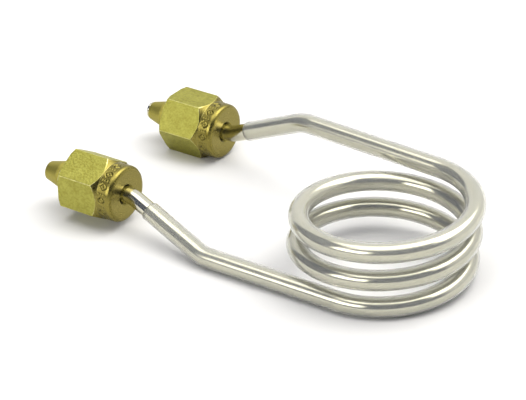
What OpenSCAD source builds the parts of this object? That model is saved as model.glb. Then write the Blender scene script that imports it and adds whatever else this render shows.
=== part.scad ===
// Small tube coil with a nut at each end.
// One tube is wound into a flat-lying coil and brought out in two leads. Each lead is bent level
// with its nut, passes through the nut and ends in a conical ferrule. A clear sleeve covers the
// tube from one nut to the other. X runs along the leads, from the nuts to the coil.

/* [Tube] */
// Outside diameter of the coil tube
tube_od = 3.175; // [3:0.005:3.3]
// Wall thickness of the coil tube
tube_wall = 0.71; // [0.4:0.01:0.9]

/* [Sleeve] */
// Wall thickness of the clear sleeve on the tube
sleeve_wall = 0.28; // [0.2:0.01:0.4]
// Slip gap between the tube and the sleeve
sleeve_gap = 0.02; // [0.02:0.01:0.05]
// Bare tube left between each nut and the sleeve
bare_length = 6.8; // [4:0.1:9]

/* [Coil] */
// Radius of the coil, to the middle of the tube
coil_r = 15.5; // [13:0.5:17]
// Height lost in one full turn of the coil
coil_pitch = 5.6; // [5:0.1:7]
// Full turns between the two leads, beside the last half turn
coil_turns = 2; // [1:1:3]
// Angle over which the coil turns level at each lead
coil_ease = 60; // [30:5:90]
// How much nearer to the nuts the bottom of the coil stands than its top
coil_lean = 1.1; // [0:0.1:1.5]

/* [Leads] */
// Length of the whole object along X
overall_length = 85.6; // [82:0.5:92]
// Distance between the axes of the two nuts
nut_spacing = 32; // [31:0.2:36]
// X of the bend where the front lead leaves the bench
front_bend_x = -3.9; // [-6:0.1:0]
// X of the bend where the back lead starts to go down
back_bend_x = -3.9; // [-6:0.1:0]
// Y of the bend where the back lead starts to go down
back_bend_y = 12.4; // [11:0.1:14]
// Radius of the bend in the middle of each lead
lead_bend_r = 9; // [7:0.5:11]
// Radius of the bend behind each nut
nut_bend_r = 6; // [4:0.5:6]
// How much shorter the front tube end is than the back one
front_setback = 0.2; // [0:0.05:1]

/* [Nuts] */
// Size of the hexagon across its flats
nut_across_flats = 11.11; // [10.5:0.01:12]
// Length of the hexagon up to its back corners
nut_hex_length = 7.9; // [7:0.1:8.5]
// Length of the whole nut
nut_length = 11.9; // [11.5:0.1:12.5]
// Diameter of the round collar behind the hexagon
collar_d = 10.9; // [10:0.05:11]
// Radius of the collar's back edge
collar_edge_r = 0.7; // [0.3:0.05:1]
// Diameter of the threaded cavity, at the tips of the thread
thread_core_d = 6.8; // [6.4:0.05:7.2]
// Depth of the threaded cavity
thread_depth = 7; // [6:0.1:7.5]
// Diameter of the countersink where the tube leaves the nut
back_countersink_d = 4.2; // [3.8:0.1:5]

/* [Ferrules] */
// Length of the conical front ferrule
front_ferrule_length = 5.4; // [5:0.1:5.8]
// Wall left at the tip of the front ferrule's cone
ferrule_tip_wall = 0.1; // [0.05:0.01:0.2]
// Angle between the cone and its axis
ferrule_cone_angle = 15; // [12:1:17]
// How far the tip of the front lead's cone stands out of its nut
front_nose_out = 6.2; // [6:0.1:7]
// How far the tip of the back lead's cone stands out of its nut
back_nose_out = 5.8; // [5.6:0.1:7]
// How far the back tube end stands out of its ferrule
back_tube_proud = 0.45; // [0.1:0.05:0.8]
// Outside diameter of the ring that rides inside the nut
back_ferrule_d = 5.3; // [5:0.1:5.6]
// Length of the ring, without its cone
back_ferrule_length = 1; // [0.8:0.1:1.2]
// Length of the cone on the front of the ring
back_ferrule_cone = 0.6; // [0.4:0.1:0.8]

/* [Fits] */
// Radial and end clearance between pieces that move on each other
running_gap = 0.08; // [0.03:0.01:0.1]

/* [Hidden] */

$fn = 96;
sides = 16;                  // flats round the swept tube
bend_steps = 4;              // sections along one bend of a lead
coil_step = 10;              // angle between two sections of the coil
edge_step = 15;              // angle between two points of the collar's edge
hex_chamfer_angle = 30;      // slope of the chamfer on the hexagon's front corners
hex_front_share = 0.91;      // front face circle as a share of the corner circle
collar_run = 1;              // length over which the hexagon's corners slope down to the collar
ring_seat_depth = 1.1;       // depth of the ring's seat behind the thread
ferrule_lip_r = 0.12;        // step back of the ferrule's tip edge
join_step = 0.05;            // how much thinner the sweep's wall starts on a round tube end
over = 1;                    // extra length of a cutting solid past the face it opens

tube_r = tube_od / 2;
bore_r = tube_r - tube_wall;
sleeve_bore_r = tube_r + sleeve_gap;
sleeve_r = sleeve_bore_r + sleeve_wall;
nut_corner_r = nut_across_flats / 2 / cos(30);
nut_y = nut_spacing / 2;
nut_bore_r = tube_r + running_gap;
ring_bore_r = tube_r + running_gap;

// Places along X. The tube's back end and the far side of the coil are the two ends of the object.
back_tip_x = -overall_length / 2;
front_tip_x = back_tip_x + front_setback;
back_nose_x = back_tip_x + back_tube_proud;
front_nose_x = front_tip_x;
back_nut_x = back_nose_x + back_nose_out;
front_nut_x = front_nose_x + front_nose_out;
nut_bend_run = 1.6;          // from a nut's back face to the corner of the bend behind it
straight_run = 0.05;         // round tube kept straight behind a nut's back face
back_corner_x = back_nut_x + nut_length + nut_bend_run;
front_corner_x = front_nut_x + nut_length + nut_bend_run;

// The back nut lies on a flat and the front nut on a corner.
back_z = nut_across_flats / 2;
front_z = nut_corner_r;

// The coil stands so that it and the back nut reach equally far from the middle line.
coil_y = coil_r + sleeve_r - nut_y - nut_corner_r;
coil_x = overall_length / 2 - coil_r - sleeve_r;
bottom_z = sleeve_r;
front_bend = [front_bend_x, coil_y - coil_r, bottom_z];

// A lead meets the coil on the tangent from its bend: the angle of the tangent point is the
// bend's own bearing from the coil's centre, turned by the arc cosine of radius over distance.
back_reach = [back_bend_x - coil_x, back_bend_y - coil_y];
front_reach = [front_bend.x - coil_x + coil_lean, front_bend.y - coil_y];
start_angle = atan2(back_reach.y, back_reach.x) - acos(coil_r / norm(back_reach));
end_angle = atan2(front_reach.y, front_reach.x) + acos(coil_r / norm(front_reach));
coil_sweep = start_angle - end_angle + 360 * coil_turns;
top_z = bottom_z + coil_pitch / 360 * (coil_sweep - coil_ease);
back_bend = [back_bend_x, back_bend_y, top_z];

back_corner = [back_corner_x, nut_y, back_z];
front_corner = [front_corner_x, -nut_y, front_z];

function unit(v) = v / norm(v);

// A station is a point on the tube's middle line and the direction of the line there.
function straight_station(from, to, along) = [from + unit(to - from) * along, unit(to - from)];

// Stations round a bend of radius r at the corner p, on the way from a to b.
function bend_stations(a, p, b, r) =
    let (u = unit(a - p), w = unit(b - p))
    let (turn = 180 - acos(u * w))
    let (c = p + unit(u + w) * r / cos(turn / 2))
    let (first = p + u * r * tan(turn / 2) - c, last = p + w * r * tan(turn / 2) - c)
    [for (i = [0 : bend_steps])
        let (done = turn * i / bend_steps, left = turn - done)
        [c + (first * sin(left) + last * sin(done)) / sin(turn),
         unit(last * cos(done) - first * cos(left))]];

// The drop along the coil grows evenly, and from nothing to its full rate over the ease angle.
function drop_rate(s) = min(1, s / coil_ease, (coil_sweep - s) / coil_ease);
function drop_angle(s) =
    s < coil_ease ? s * s / 2 / coil_ease
    : s > coil_sweep - coil_ease
        ? coil_sweep - coil_ease - (coil_sweep - s) * (coil_sweep - s) / 2 / coil_ease
    : s - coil_ease / 2;

// One station of the coil, s degrees after its start.
function coil_station(s) =
    let (a = start_angle - s, full = coil_sweep - coil_ease, rad = PI / 180)
    [[coil_x - coil_lean * drop_angle(s) / full + coil_r * cos(a),
      coil_y + coil_r * sin(a),
      top_z - coil_pitch * drop_angle(s) / 360],
     unit([-coil_lean * drop_rate(s) / full + rad * coil_r * sin(a),
           -rad * coil_r * cos(a),
           -coil_pitch * drop_rate(s) / 360])];

coil_steps = ceil(coil_sweep / coil_step);
coil_stations = [for (i = [0 : coil_steps]) coil_station(coil_sweep * i / coil_steps)];

// The part of the route that the sleeve covers, without its two ends.
covered_stations = concat(
    bend_stations(back_corner, back_bend, coil_stations[0][0], lead_bend_r),
    coil_stations,
    bend_stations(coil_stations[coil_steps][0], front_bend, front_corner, lead_bend_r));

back_in_line = [back_tip_x, nut_y, back_z];
front_in_line = [front_tip_x, -nut_y, front_z];
back_join_x = back_nut_x + nut_length + straight_run;
front_join_x = front_nut_x + nut_length + straight_run;

tube_stations = concat(
    [[[back_join_x, nut_y, back_z], [1, 0, 0]]],
    bend_stations(back_in_line, back_corner, back_bend, nut_bend_r),
    covered_stations,
    bend_stations(front_bend, front_corner, front_in_line, nut_bend_r),
    [[[front_join_x, -nut_y, front_z], [-1, 0, 0]]]);

sleeve_start = bare_length - nut_bend_run;
sleeve_end = norm(front_corner - front_bend) - sleeve_start;
sleeve_stations = concat(
    [straight_station(back_corner, back_bend, sleeve_start)],
    covered_stations,
    [straight_station(front_bend, front_corner, sleeve_end)]);

// A section's corners stand a little outside the round it replaces, so that their areas are equal.
facet_share = sqrt(2 * PI / (sides * sin(360 / sides)));
function section(station, r) =
    let (side = unit(cross(station[1], [0, 0, 1])))
    let (up = cross(side, station[1]))
    [for (i = [0 : sides - 1])
        let (a = (i + 0.5) * 360 / sides)
        station[0] + facet_share * r * (side * cos(a) + up * sin(a))];

// The two triangles between the corners a, b of one section and c, d of the next.
function pair(a, b, c, d) = [[a, b, d], [a, d, c]];

// A tube swept along stations, with the wall between r_out and r_in and a flat ring at each end.
// The wall starts thinner by step on both faces of the first and the last section.
module swept_tube(stations, r_out, r_in, step = 0) {
    last = len(stations) - 1;
    inner = len(stations) * sides;
    steps = [for (k = [0 : last]) k == 0 || k == last ? step : 0];
    points = concat(
        [for (k = [0 : last]) each section(stations[k], r_out - steps[k])],
        [for (k = [0 : last]) each section(stations[k], r_in + steps[k])]);
    walls = [for (k = [0 : last - 1], i = [0 : sides - 1])
        let (j = (i + 1) % sides, here = k * sides, next = here + sides)
        each concat(pair(here + i, here + j, next + i, next + j),
            pair(inner + here + j, inner + here + i, inner + next + j, inner + next + i))];
    ends = [for (i = [0 : sides - 1])
        let (j = (i + 1) % sides, far = last * sides)
        each concat(pair(j, i, inner + j, inner + i),
            pair(far + i, far + j, inner + far + i, inner + far + j))];
    polyhedron(points, concat(walls, ends), convexity = 12);
}

// Stands a piece that was drawn along Z on the axis of a nut, with its front end at x.
module on_axis(x, y, z, turn = 0) {
    translate([x, y, z]) rotate([0, 90, 0]) rotate(turn) children();
}

// A straight round end of the tube, from its tip to the place where the sweep takes over.
module tube_end(tip_x, join_x, y, z) {
    on_axis(tip_x, y, z) difference() {
        cylinder(r = tube_r, h = join_x - tip_x);
        translate([0, 0, -over]) cylinder(r = bore_r, h = join_x - tip_x + 2 * over);
    }
}

module coil_tube() {
    color("silver") union() {
        swept_tube(tube_stations, tube_r, bore_r, join_step);
        tube_end(back_tip_x, back_join_x, nut_y, back_z);
        tube_end(front_tip_x, front_join_x, -nut_y, front_z);
    }
}

module clear_sleeve() {
    color([0.93, 0.93, 0.88, 0.5]) swept_tube(sleeve_stations, sleeve_r, sleeve_bore_r);
}

// Outline of a nut turned round its axis: front chamfer, corner circle, slope, collar and edge.
module nut_outline() {
    front_r = nut_corner_r * hex_front_share;
    collar_r = collar_d / 2;
    polygon(concat(
        [[0, 0], [front_r, 0],
         [nut_corner_r, (nut_corner_r - front_r) * tan(hex_chamfer_angle)],
         [nut_corner_r, nut_hex_length],
         [collar_r, nut_hex_length + collar_run]],
        [for (a = [0 : edge_step : 90])
            [collar_r - collar_edge_r * (1 - cos(a)),
             nut_length - collar_edge_r * (1 - sin(a))]],
        [[0, nut_length]]));
}

// Outline of the hollow inside a nut: threaded cavity, slope, seat, tube bore and countersink.
module nut_hollow() {
    core_r = thread_core_d / 2;
    seat_r = back_ferrule_d / 2 + running_gap;
    slope_end = thread_depth + core_r - seat_r;
    seat_end = slope_end + ring_seat_depth;
    sink_r = back_countersink_d / 2;
    polygon([[0, -over], [core_r, -over], [core_r, thread_depth],
             [seat_r, slope_end], [seat_r, seat_end], [nut_bore_r, seat_end],
             [nut_bore_r, nut_length + nut_bore_r - sink_r],
             [sink_r + over, nut_length + over], [0, nut_length + over]]);
}

// A nut along Z with its front face at zero.
module nut() {
    color("darkkhaki") difference() {
        intersection() {
            union() {
                cylinder(r = nut_corner_r, h = nut_hex_length + collar_run, $fn = 6);
                cylinder(d = collar_d, h = nut_length);
            }
            rotate_extrude() nut_outline();
        }
        rotate_extrude() nut_hollow();
    }
}

// Where the ring's back face stands in its nut, measured from the nut's front face.
ring_back = thread_depth + thread_core_d / 2 - back_ferrule_d / 2 - running_gap
    + ring_seat_depth - running_gap;
ring_front = ring_back - back_ferrule_length - back_ferrule_cone;

// A ring along Z with the tip of its cone at zero.
module nut_ring() {
    ring_r = back_ferrule_d / 2;
    cone_r = ring_r - back_ferrule_cone;
    full = back_ferrule_cone + back_ferrule_length;
    color("goldenrod") rotate_extrude()
        polygon([[ring_bore_r, 0], [cone_r, 0], [ring_r, back_ferrule_cone],
                 [ring_r, full], [ring_bore_r, full]]);
}

// A front ferrule along Z with its tip at zero, hollowed at the back for the ring's cone.
module cone_ferrule() {
    tip_r = tube_r + ferrule_tip_wall;
    full_r = back_ferrule_d / 2;
    cone_length = (full_r - tip_r - ferrule_lip_r) / tan(ferrule_cone_angle);
    seat_r = full_r - back_ferrule_cone + running_gap;
    color("darkgoldenrod") rotate_extrude()
        polygon([[tube_r, 0], [tip_r, 0], [tip_r + ferrule_lip_r, ferrule_lip_r],
                 [full_r, ferrule_lip_r + cone_length], [full_r, front_ferrule_length],
                 [seat_r + back_ferrule_cone / 2, front_ferrule_length],
                 [tube_r, front_ferrule_length - seat_r - back_ferrule_cone / 2 + tube_r]]);
}

module front_nut() { on_axis(front_nut_x, -nut_y, front_z) nut(); }
module front_nut_ring() { on_axis(front_nut_x + ring_front, -nut_y, front_z) nut_ring(); }
module front_cone_ferrule() { on_axis(front_nose_x, -nut_y, front_z) cone_ferrule(); }
module back_nut() { on_axis(back_nut_x, nut_y, back_z, 30) nut(); }
module back_nut_ring() { on_axis(back_nut_x + ring_front, nut_y, back_z) nut_ring(); }
module back_cone_ferrule() { on_axis(back_nose_x, nut_y, back_z) cone_ferrule(); }

coil_tube();
clear_sleeve();
front_nut();
front_nut_ring();
front_cone_ferrule();
back_nut();
back_nut_ring();
back_cone_ferrule();
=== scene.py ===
"""Looks of a small tube coil with a nut at each end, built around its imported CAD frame.

Sizes are in millimetres until a mesh is written, which turns them into metres. Every piece is
one closed profile loop carried along a path: a row of the grid is a point of the loop, and a
column is an angle round the path.
"""
import logging
import math
from dataclasses import dataclass, field
from enum import Enum
from functools import reduce

import bpy
import numpy as np
from mathutils import Matrix, Vector


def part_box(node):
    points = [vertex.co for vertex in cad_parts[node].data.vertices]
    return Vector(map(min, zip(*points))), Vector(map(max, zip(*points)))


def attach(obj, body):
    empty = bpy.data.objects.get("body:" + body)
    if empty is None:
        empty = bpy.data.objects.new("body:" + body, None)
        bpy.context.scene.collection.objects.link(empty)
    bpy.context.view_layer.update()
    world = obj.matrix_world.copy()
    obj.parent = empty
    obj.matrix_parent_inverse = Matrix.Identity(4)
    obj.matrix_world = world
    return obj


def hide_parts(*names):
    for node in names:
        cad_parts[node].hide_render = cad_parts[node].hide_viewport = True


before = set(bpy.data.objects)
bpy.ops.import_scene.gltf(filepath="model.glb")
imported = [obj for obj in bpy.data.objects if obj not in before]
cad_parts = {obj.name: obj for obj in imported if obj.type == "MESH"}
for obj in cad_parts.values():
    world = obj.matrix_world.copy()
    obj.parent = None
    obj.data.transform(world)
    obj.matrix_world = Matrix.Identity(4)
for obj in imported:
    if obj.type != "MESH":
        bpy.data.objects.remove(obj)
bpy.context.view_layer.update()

MM = 0.001
LOG = logging.getLogger("coil")

Colour = tuple[float, float, float]


class Body(Enum):
    """The CAD bodies that a piece can ride on."""

    COIL = "coil"
    FRONT_RING = "front_ring"
    FRONT_NUT = "front_nut"
    BACK_RING = "back_ring"
    BACK_NUT = "back_nut"


class Slot(Enum):
    """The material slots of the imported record."""

    TUBE = "tube_metal"
    SLEEVE = "sleeve_plastic"
    NUT = "nut_brass"
    FERRULE = "ferrule_brass"


# ---------------------------------------------------------------------------------------------
# Shapes


def smooth_step(x: np.ndarray, low: float, high: float) -> np.ndarray:
    """Nothing below low, one above high, and three t squared less two t cubed between them."""
    t = np.clip((x - low) / (high - low), 0.0, 1.0)
    return t * t * (3.0 - 2.0 * t)


def rounded(corners: np.ndarray, cuts: np.ndarray, steps: int) -> tuple[np.ndarray, np.ndarray]:
    """Rounds every corner of closed loops of points.

    Each corner becomes a quadratic curve from a point one cut back along the side before it to a
    point one cut on along the side after it, with the corner as its control point.

    Args:
        corners: the corners, (count, columns, 2), one loop in each column.
        cuts: how far each corner is cut back, (count,). No cut takes half of its side.
        steps: points on each curve.

    Returns:
        The points, (count times steps, columns, 2), and how far into a curve each row stands:
        one in its middle and nothing at its two ends.
    """
    most_of_side = 0.45
    before = np.roll(corners, 1, axis=0) - corners
    after = np.roll(corners, -1, axis=0) - corners
    long_before = np.linalg.norm(before, axis=2, keepdims=True)
    long_after = np.linalg.norm(after, axis=2, keepdims=True)
    room = most_of_side * np.minimum(long_before, long_after)
    reach = np.minimum(cuts[:, None, None], room)
    first = corners + before / long_before * reach
    last = corners + after / long_after * reach
    t = np.linspace(0.0, 1.0, steps)[None, :, None, None]
    curve = (
        (1 - t) ** 2 * first[:, None]
        + 2 * t * (1 - t) * corners[:, None]
        + t**2 * last[:, None]
    )
    bend = np.tile(np.sin(np.pi * np.linspace(0.0, 1.0, steps)), len(corners))
    return curve.reshape(-1, *corners.shape[1:]), bend


def filled(
    rows: np.ndarray, bend: np.ndarray, spacing: float | np.ndarray, support: float = 0.1
) -> tuple[np.ndarray, np.ndarray]:
    """Puts rows between two neighbours of a closed loop that stand further apart than spacing.

    The new rows lie on the straight line between the two. The first and the last of them stand
    close to the ends, so that smooth shading doesn't spread from a rounded corner.

    Args:
        rows: the loop's points, (count, columns, 2).
        bend: a value of each row, (count,). A new row has the value nothing.
        spacing: the longest gap that is left as it is, for all rows or for each.
        support: how far the first and the last new row stand from the ends.

    Returns:
        The longer loop, and its values.
    """
    most_of_gap = 0.2
    out, marks = [], []
    following = np.roll(rows, -1, axis=0)
    longest = np.broadcast_to(spacing, len(rows))
    for here, there, value, step in zip(rows, following, bend, longest):
        gap = float(np.linalg.norm(there - here, axis=-1).max())
        out.append(here)
        marks.append(value)
        if gap > step:
            edge = min(support / gap, most_of_gap)
            inner = np.linspace(edge, 1.0 - edge, max(2, math.ceil(gap / step)))
            between = here[None] + inner[:, None, None] * (there - here)[None]
            out.extend(between)
            marks.extend([0.0] * len(inner))
    return np.array(out), np.array(marks)


def ring_quads(rows: int, columns: int) -> np.ndarray:
    """Quads of a grid that closes on itself both ways.

    Each quad joins (i, j), (i, j + 1), (i + 1, j + 1) and (i + 1, j), counted round both ends.

    Args:
        rows: how many rows the grid has.
        columns: how many columns the grid has.

    Returns:
        The corners' vertex numbers, (faces, 4).
    """
    i, j = np.meshgrid(np.arange(rows), np.arange(columns), indexing="ij")
    steps = np.array([[0, 0], [0, 1], [1, 1], [1, 0]])
    cells = np.stack([i, j], axis=-1).reshape(-1, 1, 2) + steps
    return (cells[..., 0] % rows) * columns + cells[..., 1] % columns


def loop_run(loop: np.ndarray) -> np.ndarray:
    """Length from the loop's first row to each row, along the loop, (rows, columns)."""
    legs = np.linalg.norm(np.diff(loop, axis=0), axis=2)
    return np.concatenate([np.zeros((1, loop.shape[1])), np.cumsum(legs, axis=0)])


def write_piece(
    name: str, points: np.ndarray, marks: dict[str, np.ndarray], sharp: float = 50.0
) -> bpy.types.Object:
    """Makes an object at the origin from a grid of points that closes on itself both ways.

    Args:
        name: the piece's name.
        points: the grid in millimetres, (rows, columns, 3).
        marks: attributes by name, each (rows, columns) or (rows, columns, 3).
        sharp: the angle in degrees above which an edge is shaded sharp.

    Returns:
        The new object, in the scene.
    """
    quads = ring_quads(*points.shape[:2])
    mesh = bpy.data.meshes.new(name)
    mesh.from_pydata((points.reshape(-1, 3) * MM).tolist(), [], quads.tolist())
    for mark, values in marks.items():
        if values.ndim == 3:
            made = mesh.attributes.new(mark, "FLOAT_VECTOR", "POINT")
            made.data.foreach_set("vector", values.astype(np.float32).ravel())
        else:
            made = mesh.attributes.new(mark, "FLOAT", "POINT")
            made.data.foreach_set("value", values.astype(np.float32).ravel())
    mesh.shade_smooth()
    mesh.set_sharp_from_angle(angle=math.radians(sharp))
    mesh.validate()
    piece = bpy.data.objects.new(name, mesh)
    bpy.context.scene.collection.objects.link(piece)
    return piece


@dataclass
class Axis:
    """A straight line along X that a turned piece stands on."""

    y: float
    z: float
    front: float

    @staticmethod
    def of_node(node: str) -> "Axis":
        """The middle line of a CAD node's box, from the box's front end."""
        low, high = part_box(node)
        return Axis((low.y + high.y) / 2 / MM, (low.z + high.z) / 2 / MM, low.x / MM)

    def carry(self, loop: np.ndarray, angles: np.ndarray) -> np.ndarray:
        """Turns a loop round the line.

        A point is front + along in X, and its radius times the cosine and the sine of the angle
        in Y and Z.

        Args:
            loop: distances along the line and radii, (rows, columns, 2).
            angles: one angle for each column, in radians.

        Returns:
            Points, (rows, columns, 3).
        """
        along, radius = loop[..., 0], loop[..., 1]
        return np.stack(
            [
                self.front + along,
                self.y + radius * np.cos(angles),
                self.z + radius * np.sin(angles),
            ],
            axis=-1,
        )


@dataclass
class Route:
    """The tube's middle line, from the back tube end through the coil to the front tube end."""

    back: Axis
    front: Axis
    coil_r: float = 15.5
    pitch: float = 5.6
    turns: int = 2
    ease: float = 60.0
    lean: float = 1.1
    sleeve_r: float = 1.8875
    front_bend_x: float = -3.9
    back_bend: tuple[float, float] = (-3.9, 12.4)
    lead_bend_r: float = 9.0
    nut_bend_r: float = 6.0
    nut_bend_run: float = 1.6
    bend_steps: int = 14
    coil_step: float = 2.0
    search_steps: int = 20000
    coil_x: float = field(init=False)
    coil_y: float = field(init=False)
    back_corner_x: float = field(init=False)
    front_corner_x: float = field(init=False)
    points: np.ndarray = field(init=False)
    run: np.ndarray = field(init=False)

    def __post_init__(self) -> None:
        """Places the coil and the corners by the nuts, lays the line out and measures it.

        The back tube end and the coil's far side are equally far from the middle in X, and the
        back nut and the coil's front side are so in Y. Each lead bends a short run behind its nut.
        """
        outside = self.coil_r + self.sleeve_r
        back_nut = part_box("back_nut")[1] / MM
        front_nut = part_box("front_nut")[1] / MM
        self.coil_x = -self.back.front - outside
        self.coil_y = outside - back_nut.y
        self.back_corner_x = back_nut.x + self.nut_bend_run
        self.front_corner_x = front_nut.x + self.nut_bend_run
        self.points = self._laid_out()
        legs = np.linalg.norm(np.diff(self.points, axis=0), axis=1)
        self.run = np.concatenate([[0.0], np.cumsum(legs)])

    @property
    def length(self) -> float:
        """Length of the whole line."""
        return float(self.run[-1])

    def _bend(self, a: np.ndarray, p: np.ndarray, b: np.ndarray, r: float) -> np.ndarray:
        """Points on the arc of radius r that rounds the corner p on the way from a to b.

        The arc's middle stands on the corner's inner bisector, and a point is the two tangent
        points weighted by the sines of the angles left and done.

        Args:
            a: a point on the way in.
            p: the corner.
            b: a point on the way out.
            r: the arc's radius.

        Returns:
            The arc's points, (bend_steps, 3).
        """
        u, w = (a - p) / np.linalg.norm(a - p), (b - p) / np.linalg.norm(b - p)
        turn = math.pi - math.acos(float(u @ w))
        middle = p + (u + w) / np.linalg.norm(u + w) * r / math.cos(turn / 2)
        first, last = (p + v * r * math.tan(turn / 2) - middle for v in (u, w))
        done = turn * np.linspace(0.0, 1.0, self.bend_steps)[:, None]
        return middle + (first * np.sin(turn - done) + last * np.sin(done)) / math.sin(turn)

    def _coil(self) -> tuple[np.ndarray, float]:
        """Winds the coil.

        The angle falls evenly from the first lead's tangent point to the last one's. The drop
        grows with the square of the angle over the ease, then evenly, then slows down likewise.

        Returns:
            The coil's points, (count, 3), and the height of its top.
        """
        reach_back = np.array(self.back_bend) - (self.coil_x, self.coil_y)
        reach_front = np.array([self.front_bend_x - self.coil_x + self.lean, -self.coil_r])
        start, end = (
            math.degrees(math.atan2(v[1], v[0]) + sign * math.acos(self.coil_r / np.hypot(*v)))
            for v, sign in ((reach_back, -1), (reach_front, 1))
        )
        sweep = start - end + 360 * self.turns
        s = np.linspace(0.0, sweep, math.ceil(sweep / self.coil_step) + 1)
        drop = np.where(s < self.ease, s**2 / 2 / self.ease, s - self.ease / 2)
        slow = sweep - self.ease - (sweep - s) ** 2 / 2 / self.ease
        drop = np.where(s > sweep - self.ease, slow, drop)
        top = self.sleeve_r + self.pitch / 360 * (sweep - self.ease)
        angle = np.radians(start - s)
        points = np.stack(
            [
                self.coil_x - self.lean * drop / (sweep - self.ease) + self.coil_r * np.cos(angle),
                self.coil_y + self.coil_r * np.sin(angle),
                top - self.pitch * drop / 360,
            ],
            axis=1,
        )
        return points, top

    def _laid_out(self) -> np.ndarray:
        """Joins straight end, bend, lead, bend and coil, and the same on the way out.

        Returns:
            The line's points, (count, 3).
        """
        coil, top = self._coil()
        back_tip = np.array([self.back.front, self.back.y, self.back.z])
        front_tip = np.array([self.front.front, self.front.y, self.front.z])
        back_corner = np.array([self.back_corner_x, self.back.y, self.back.z])
        front_corner = np.array([self.front_corner_x, self.front.y, self.front.z])
        back_bend = np.array([*self.back_bend, top])
        front_bend = np.array([self.front_bend_x, self.coil_y - self.coil_r, self.sleeve_r])
        return np.concatenate(
            [
                [back_tip],
                self._bend(back_tip, back_corner, back_bend, self.nut_bend_r),
                self._bend(back_corner, back_bend, coil[0], self.lead_bend_r),
                coil,
                self._bend(coil[-1], front_bend, front_corner, self.lead_bend_r),
                self._bend(front_bend, front_corner, front_tip, self.nut_bend_r),
                [front_tip],
            ]
        )

    def near(self, x: float, y: float) -> float:
        """Length along the line at which it passes nearest to a point seen from above."""
        fine = np.linspace(0.0, self.length, self.search_steps)
        return float(fine[np.argmin(np.hypot(*(self.at(fine)[:, :2] - (x, y)).T))])

    def at(self, along: np.ndarray) -> np.ndarray:
        """Points of the line at lengths along it, joined straight between its own points."""
        return np.stack([np.interp(along, self.run, self.points[:, k]) for k in range(3)], axis=-1)

    def carry(self, loop: np.ndarray, angles: np.ndarray) -> np.ndarray:
        """Carries a loop along the line.

        The line's direction is taken over a short step. The side is up crossed with the
        direction, and the third axis is the direction crossed with the side. A point is the
        line's point plus the radius times the cosine of the angle along the side and its sine
        along the third axis.

        Args:
            loop: lengths along the line and radii, (rows, columns, 2).
            angles: one angle for each column, in radians.

        Returns:
            Points, (rows, columns, 3).
        """
        along, radius = loop[..., 0], loop[..., 1]
        step = 0.25
        ahead = self.at(np.clip(along + step, 0, self.length))
        behind = self.at(np.clip(along - step, 0, self.length))
        way = (ahead - behind) / np.linalg.norm(ahead - behind, axis=-1, keepdims=True)
        side = np.cross([0.0, 0.0, 1.0], way)
        side /= np.linalg.norm(side, axis=-1, keepdims=True)
        third = np.cross(way, side)
        out = side * np.cos(angles)[:, None] + third * np.sin(angles)[:, None]
        return self.at(along) + out * radius[..., None]


def round_columns(count: int) -> np.ndarray:
    """Evenly spread angles round a path, in radians."""
    return np.arange(count) * 2 * math.pi / count


def even_loop(corners: list[tuple[float, float]], columns: int) -> np.ndarray:
    """The same closed profile in every column, (corners, columns, 2)."""
    return np.repeat(np.array(corners, float)[:, None], columns, axis=1)


# ---------------------------------------------------------------------------------------------
# Node sheets and shared effects


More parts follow.
